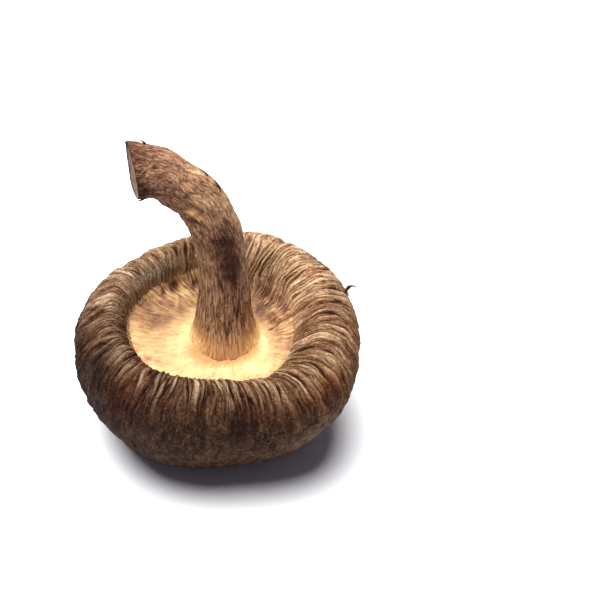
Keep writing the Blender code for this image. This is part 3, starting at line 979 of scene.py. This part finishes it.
@dataclass
class Gills:
    """The bed of gills: a ring from the stem's foot to the lip with a sharp edge for every gill."""

    cap: Cap
    stem: Stem
    radius: float = 13.15
    top_outer: float = 20.1
    top_inner: float = 17.2
    sag: float = 1.3
    underside: float = 14.2
    hole: float = 5.45
    count: int = 176
    columns: int = 1408
    rows: int = 62
    height: float = 0.2
    far_side: float = 1.25
    width: float = 12.0
    flow_radius: float = 12.0
    flow_length: float = 8.0
    pit_depth: float = 0.6
    seed: int = 51
    blots: tuple[Blot, ...] = (
        Blot(Mark.REACH, (10.0, 1.7, 18.6), (0.5, 0.3, 1.0), 0.7),
        Blot(Mark.PIT, (-7.6, 8.5, 19.9), (0.45, 0.9, 1.2), 1.0),
        Blot(Mark.PIT, (-5.9, 9.8, 20.2), (0.6, 0.9, 1.4), 1.2),
        Blot(Mark.PIT, (-2.6, 10.3, 20.2), (0.4, 0.7, 1.4), 0.9),
        Blot(Mark.REACH, (-4.6, 8.6, 19.4), (0.35, 1.5, 1.2), -0.3),
        Blot(Mark.REACH, (-5.6, 7.2, 19.2), (0.3, 1.3, 1.2), -0.25),
        Blot(Mark.REACH, (-9.9, 2.6, 19.0), (2.6, 2.6, 2.0), 0.18),
        Blot(Mark.REACH, (-8.5, 4.5, 19.0), (4.0, 3.2, 3.0), 0.22),
        Blot(Mark.REACH, (-4.6, 5.6, 18.2), (2.2, 2.0, 2.0), 0.14),
        Blot(Mark.REACH, (8.0, 5.2, 18.3), (1.8, 2.4, 2.0), 0.24),
        Blot(Mark.REACH, (-10.9, 4.8, 19.4), (0.8, 1.2, 2.0), 0.15),
        # Lighter left margin of the bed: painted light where the lamp falls on it.
        Blot(Mark.REACH, (-13.2, -1.0, 19.4), (1.5, 3.8, 1.5), -0.22),
        Blot(Mark.REACH, (-7.6, -3.6, 17.8), (1.8, 0.5, 1.5), 0.16),
        Blot(Mark.REACH, (-9.5, -6.0, 18.6), (1.5, 0.5, 1.5), 0.2),
        Blot(Mark.REACH, (-4.4, -1.1, 17.4), (1.1, 2.8, 1.5), -0.14),
        Blot(Mark.REACH, (7.6, -6.9, 17.8), (2.8, 1.7, 1.5), -0.2),
        Blot(Mark.REACH, (8.8, -1.2, 17.6), (0.8, 1.7, 1.5), -0.18),
    )

    def make(self, finish: bpy.types.Material) -> None:
        """Build the bed, dress it and let it stand for its node."""
        place(self.skin().build("gill_bed", ring=True), finish, ["gills"])

    def skin(self) -> Skin:
        """Ring solid whose top runs from the lip to the stem.

        A point of the top is blended between a circle round the foot and the lip's ring. A gill's
        edge is a bell curve across its line, and short gills between the long ones fade in
        towards the lip.
        """
        share = np.linspace(1.0, 0.0, self.rows)[:, None]
        angle = np.linspace(0, TURN, self.columns, endpoint=False)[None, :] + 0 * share
        far = np.cos(angle - self.far_side)
        height = self.top_inner + (self.top_outer - self.top_inner) * share**self.sag
        rough = self.cap.flow(angle, 0 * share)
        lift = 0.9 + 0.5 * far + 0.7 * toward(angle, 2.15, 0.5)
        lift += 0.25 * perlin(rough / 1.4, self.seed + 8)
        lift += 0.15 * perlin(rough / 0.5, self.seed + 9)
        height = height + lift * np.exp((share - 1) / 0.12) + 0.85 * np.exp(-share / 0.065)
        inner = self.hole_ring(height, angle)
        outer = self.cap.ring(self.radius + 0.55 * smooth(0.92, 1.0, share), height, angle, 1.0)
        top = Skin(inner * (1 - share[..., None]) + outer * share[..., None])

        flow = cylinder(self.flow_radius, angle, self.flow_length * share)
        sway = 0.05 * perlin(flow / (3.0, 3.0, 5.0), self.seed)
        sway += 0.02 * perlin(flow / (1.0, 1.0, 2.5), self.seed + 1)
        gill_at = (angle + sway) * self.count / TURN
        gill = np.round(gill_at).astype(int) % self.count
        offset = np.abs(gill_at - np.round(gill_at))
        draws = np.random.default_rng(self.seed).uniform(0.4, 1.0, (2, self.count))
        between = np.floor(gill_at).astype(int) % self.count
        long_edge = np.exp(-((offset / 0.18) ** 2)) * draws[0][gill]
        short_edge = np.exp(-(((0.5 - offset) / 0.16) ** 2)) * draws[1][between]
        start = 0.2 + 0.5 * draws[1][between] - 0.25
        edges = np.maximum(long_edge, short_edge * smooth(0, 0.25, share - start))
        edges = edges * smooth(-0.5, 0.3, perlin(flow / (1.5, 1.5, 2.5), self.seed + 3))
        swell = np.sin(np.pi * (0.1 + 0.8 * share))
        lip = self.cap.profile()[3][-len(self.cap.inside) - 1]
        run = lip + self.width * (1 - share)
        coarse, fine = self.cap.waves(self.cap.wrinkled(angle, run, np.ones_like(share)), angle)
        ridges = smooth(0.08, 0.55, np.abs(coarse)) - 0.4
        clear = smooth(-0.2, 0.7, far)
        near_lip = smooth(0.15, 0.75, share) * (0.25 + 0.75 * clear)
        folds = perlin(flow / (4.0, 4.0, 3.5), self.seed + 4)
        felt = perlin(flow / (0.8, 0.8, 1.4), self.seed + 5)
        lined = smooth(0.05, 0.45, share) * (0.35 + 0.65 * clear)
        relief = (self.height * (edges - 0.4) * lined + 0.6 * folds + 0.12 * felt) * swell
        relief += 0.3 * ridges * near_lip
        pits = np.clip(blotted(self.blots, Mark.PIT, top.points), 0, 1)
        top = top.raised(relief - self.pit_depth * pits)

        wall = [
            self.hole_ring(np.array(self.underside), angle[0]),
            self.cap.ring(self.cap.outline[-1][0] - 1.0, np.array(self.underside), angle[0], 1.0),
            self.cap.ring(self.radius, np.array(self.underside + 0.6), angle[0], 1.0),
        ]
        back = smooth(0.1, 0.95, far)
        reach = 0.12 + 0.28 * share**1.3 + (0.24 + 0.24 * far) * (back + (1 - back) * smooth(0.0, 0.6, share))
        reach = reach + 0.1 * perlin(flow / (3.0, 3.0, 2.5), self.seed + 6)
        uneven = 0.24 + 0.1 * perlin(self.cap.flow(angle, 0 * share) / 1.1, self.seed + 10)
        footed = np.exp(-((share / uneven) ** 2)) * smooth(0.0, 0.75, np.cos(angle - self.cap.front_side))
        ragged = self.cap.flow(angle, self.width * share) / (0.7, 0.7, 2.0)
        ragged = share + 0.12 * perlin(ragged, self.seed + 11)
        margin = 0.12 * smooth(0.88, 1.02, ragged) - 0.22 * toward(angle, 2.35, 0.6) * smooth(0.3, 0.8, share)
        # The pits are darkened too: painted shade in their hollows.
        reach = reach + margin + 0.1 * footed + 0.42 * pits
        marks = {
            "flow": flow * MM,
            "reach": reach + blotted(self.blots, Mark.REACH, top.points),
            "stain": footed,
            # Gaps between the gill edges, darkened in the finish: painted shade.
            "gill_gap_shade": np.clip(1 - edges, 0, 1) * swell,
            "waves": np.stack([coarse, fine, 0 * fine], axis=-1),
            "breaks": np.zeros((*coarse.shape, 3)),
            "contrast": near_lip + 0.1,
            "outward": (0.12 + 0.88 * smooth(0.25, 0.75, share)) * (0.35 + 0.65 * clear),
        }
        marks = {key: np.concatenate([value, value[-1:], value[:1], value[:1]])
                 for key, value in marks.items()}
        return Skin(np.concatenate([top.points, np.array(wall)]), marks)

    def hole_ring(self, height: Array, angle: Array) -> Array:
        """Circle round the middle of the stem's foot."""
        x = self.stem.line[0][0] + self.hole * np.cos(angle)
        y = self.stem.line[0][1] + self.hole * np.sin(angle)
        return np.stack([x, y, height * self.cap.level(x, y)], axis=-1)


@dataclass(frozen=True)
class Torn:
    """A torn strip in millimetres: start, what it bends towards, end, width, and its tip's share of it."""

    start: tuple[float, float, float]
    bend: tuple[float, float, float]
    end: tuple[float, float, float]
    width: float
    tip: float = 0.06


@dataclass
class Slivers:
    """Torn skin that stands off the stem's bend and cut end, and the hook on the rim's right edge."""

    on_stem: tuple[Torn, ...] = (
        Torn((1.5, 5.9, 44.4), (1.35, 6.5, 45.6), (0.35, 7.3, 46.1), 0.5),
        Torn((-0.5, 7.0, 46.7), (-0.8, 7.5, 47.3), (-1.4, 7.6, 47.3), 0.3),
        Torn((-10.1, 9.9, 50.8), (-10.8, 10.4, 51.3), (-11.6, 10.4, 51.3), 0.35),
        Torn((-12.6, 9.2, 50.9), (-13.3, 9.7, 51.6), (-13.8, 9.6, 51.2), 0.4),
        Torn((-10.0, 5.0, 44.2), (-10.8, 4.4, 43.7), (-11.4, 4.5, 43.8), 0.5),
    )
    on_rim: tuple[Torn, ...] = (
        Torn((22.1, 5.2, 22.5), (22.65, 6.7, 24.0), (24.0, 6.2, 23.5), 0.9, 0.45),
    )

    def make(self, skin: bpy.types.Material, tissue: bpy.types.Material) -> None:
        """Build the strips of the stem and those of the rim, and dress them."""
        for name, strips, finish, slot in (("stem_slivers", self.on_stem, tissue, "stem_tissue"),
                                           ("rim_hook", self.on_rim, skin, "cap_skin")):
            paths = np.array([(strip.start, strip.bend, strip.end) for strip in strips])
            width, tip = np.array([(strip.width, strip.tip) for strip in strips]).T
            place(blades(name, paths, width, tip, {"tone": 0.34, "contrast": 0.0, "low": 0.5}), finish)


@dataclass
class Fringe:
    """Frayed edge of the gills: short cream strips that stand against the wall of the rim."""

    cap: Cap
    count: int = 130
    middle: float = 3.5
    spread: float = 1.0
    root: tuple[float, float] = (12.5, 20.2)
    lip: tuple[float, float] = (13.0, 20.9)
    slope: float = 0.45
    length: tuple[float, float] = (0.1, 1.2)
    width: tuple[float, float] = (0.1, 0.28)
    seed: int = 71

    def make(self, finish: bpy.types.Material) -> None:
        """Build and dress the strips, each rooted in the bed and leaning out along the wall."""
        rng = np.random.default_rng(self.seed)
        angle = self.middle + self.spread * rng.uniform(-1, 1, self.count)
        length = self.length[0] + np.ptp(self.length) * rng.uniform(0, 1, self.count) ** 2
        length *= toward(angle, self.middle, self.spread)
        lean = rng.normal(0, 0.012, self.count)
        radius, height = self.lip
        start = self.cap.ring(self.root[0] + 0 * angle, self.root[1] + 0 * angle, angle, 1.0)
        bend = self.cap.ring(radius + 0 * angle, height + 0.3 * length, angle + 0.5 * lean, 1.0)
        end = self.cap.ring(radius + self.slope * length, height + length, angle + lean, 1.0)
        width = rng.uniform(*self.width, self.count)
        paths = np.stack([start, bend, end], axis=1)
        marks = {"reach": 0.52, "contrast": 0.0, "outward": 0.6}
        place(blades("gill_fringe", paths, width, 0.1 + 0 * width, marks, 5, 4), finish)


# The studio

@dataclass(frozen=True)
class Studio:
    """Pale floor, soft light and the camera at the photograph's viewing angle.

    The frame is a square of 600 pixels. Lengths are millimetres, but metres for the floor and lamp.
    """

    floor_half: float = 3.0
    lamp_spot: tuple[float, float, float] = (-0.13, 0.07, 0.75)
    lamp_aim: tuple[float, float, float] = (0.0, 0.0, 0.02)
    lamp_size: float = 0.75
    lamp_power: float = 18.0
    sky: str = "#ECE6FF"
    sky_strength: float = 0.12
    elevation: float = 46.0
    distance: float = 320.0
    target: tuple[float, float, float] = (0.0, 0.0, 12.0)
    frame_width: float = 100.0
    target_pixel: tuple[float, float] = (210.4, 362.5)
    image: float = 600.0
    sensor: float = 36.0

    def camera(self) -> None:
        """Camera above the near side, turned so that the target falls on its pixel of the frame."""
        lift = math.radians(self.elevation)
        forward = Vector((0, math.cos(lift), -math.sin(lift)))
        upward = Vector((0, math.sin(lift), math.cos(lift)))
        pixel = self.frame_width / self.image
        right_by = (self.image / 2 - self.target_pixel[0]) * pixel
        up_by = (self.target_pixel[1] - self.image / 2) * pixel
        looking = (forward * self.distance + Vector((right_by, 0, 0)) + upward * up_by).normalized()
        right = (Vector((1, 0, 0)) - looking * looking.x).normalized()
        up = right.cross(looking)
        data = bpy.data.cameras.new("camera")
        data.sensor_width = self.sensor
        data.lens = self.sensor * self.distance / self.frame_width
        data.clip_start = 0.01
        data.clip_end = 20
        camera = bpy.data.objects.new("camera", data)
        turned = Matrix((right, up, -looking)).transposed().to_4x4()
        spot = (Vector(self.target) - forward * self.distance) * MM
        camera.matrix_world = Matrix.Translation(spot) @ turned
        bpy.context.scene.collection.objects.link(camera)
        bpy.context.scene.camera = camera

    def table(self, finish: TableTop) -> None:
        """Wide white floor at height zero."""
        half = self.floor_half
        corners = [(-half, -half, 0), (half, -half, 0), (half, half, 0), (-half, half, 0)]
        mesh = bpy.data.meshes.new("table_top")
        mesh.from_pydata(corners, [], [(0, 1, 2, 3)])
        mesh.materials.append(finish.material())
        piece = bpy.data.objects.new("table_top", mesh)
        bpy.context.scene.collection.objects.link(piece)

    def lights(self) -> None:
        """One big soft light high behind on the left, and an even pale sky."""
        scene = bpy.context.scene
        world = bpy.data.worlds.new("sky")
        world.use_nodes = True
        background = world.node_tree.nodes["Background"]
        background.inputs["Color"].default_value = linear(self.sky)
        background.inputs["Strength"].default_value = self.sky_strength
        scene.world = world
        data = bpy.data.lights.new("key", "AREA")
        data.shape = "DISK"
        data.size = self.lamp_size
        data.energy = self.lamp_power
        lamp = bpy.data.objects.new("key", data)
        lamp.location = self.lamp_spot
        heading = Vector(self.lamp_aim) - Vector(self.lamp_spot)
        lamp.rotation_euler = heading.to_track_quat("-Z", "Y").to_euler()
        scene.collection.objects.link(lamp)
        scene.view_settings.view_transform = "Standard"

    def build(self) -> None:
        """Set up the camera, floor and lights."""
        self.camera()
        self.table(TableTop("white laminate, satin", 0.5))
        self.lights()


def main() -> None:
    """Build the studio and the mushroom."""
    logging.basicConfig(level=logging.INFO, format="%(name)s %(message)s")
    Studio().build()
    skin = DriedSkin("shiitake cap skin, air dried", 0.8).material()
    tissue = DriedStem("shiitake stem, air dried and cut", 0.8).material()
    folds = DriedGills("shiitake gills, air dried", 0.75).material()
    cap, stem = Cap(), Stem()
    cap.make(skin)
    stem.make(tissue)
    Gills(cap, stem).make(folds)
    Slivers().make(skin, tissue)
    Fringe(cap).make(folds)
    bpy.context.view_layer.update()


if __name__ == "__main__":
    main()
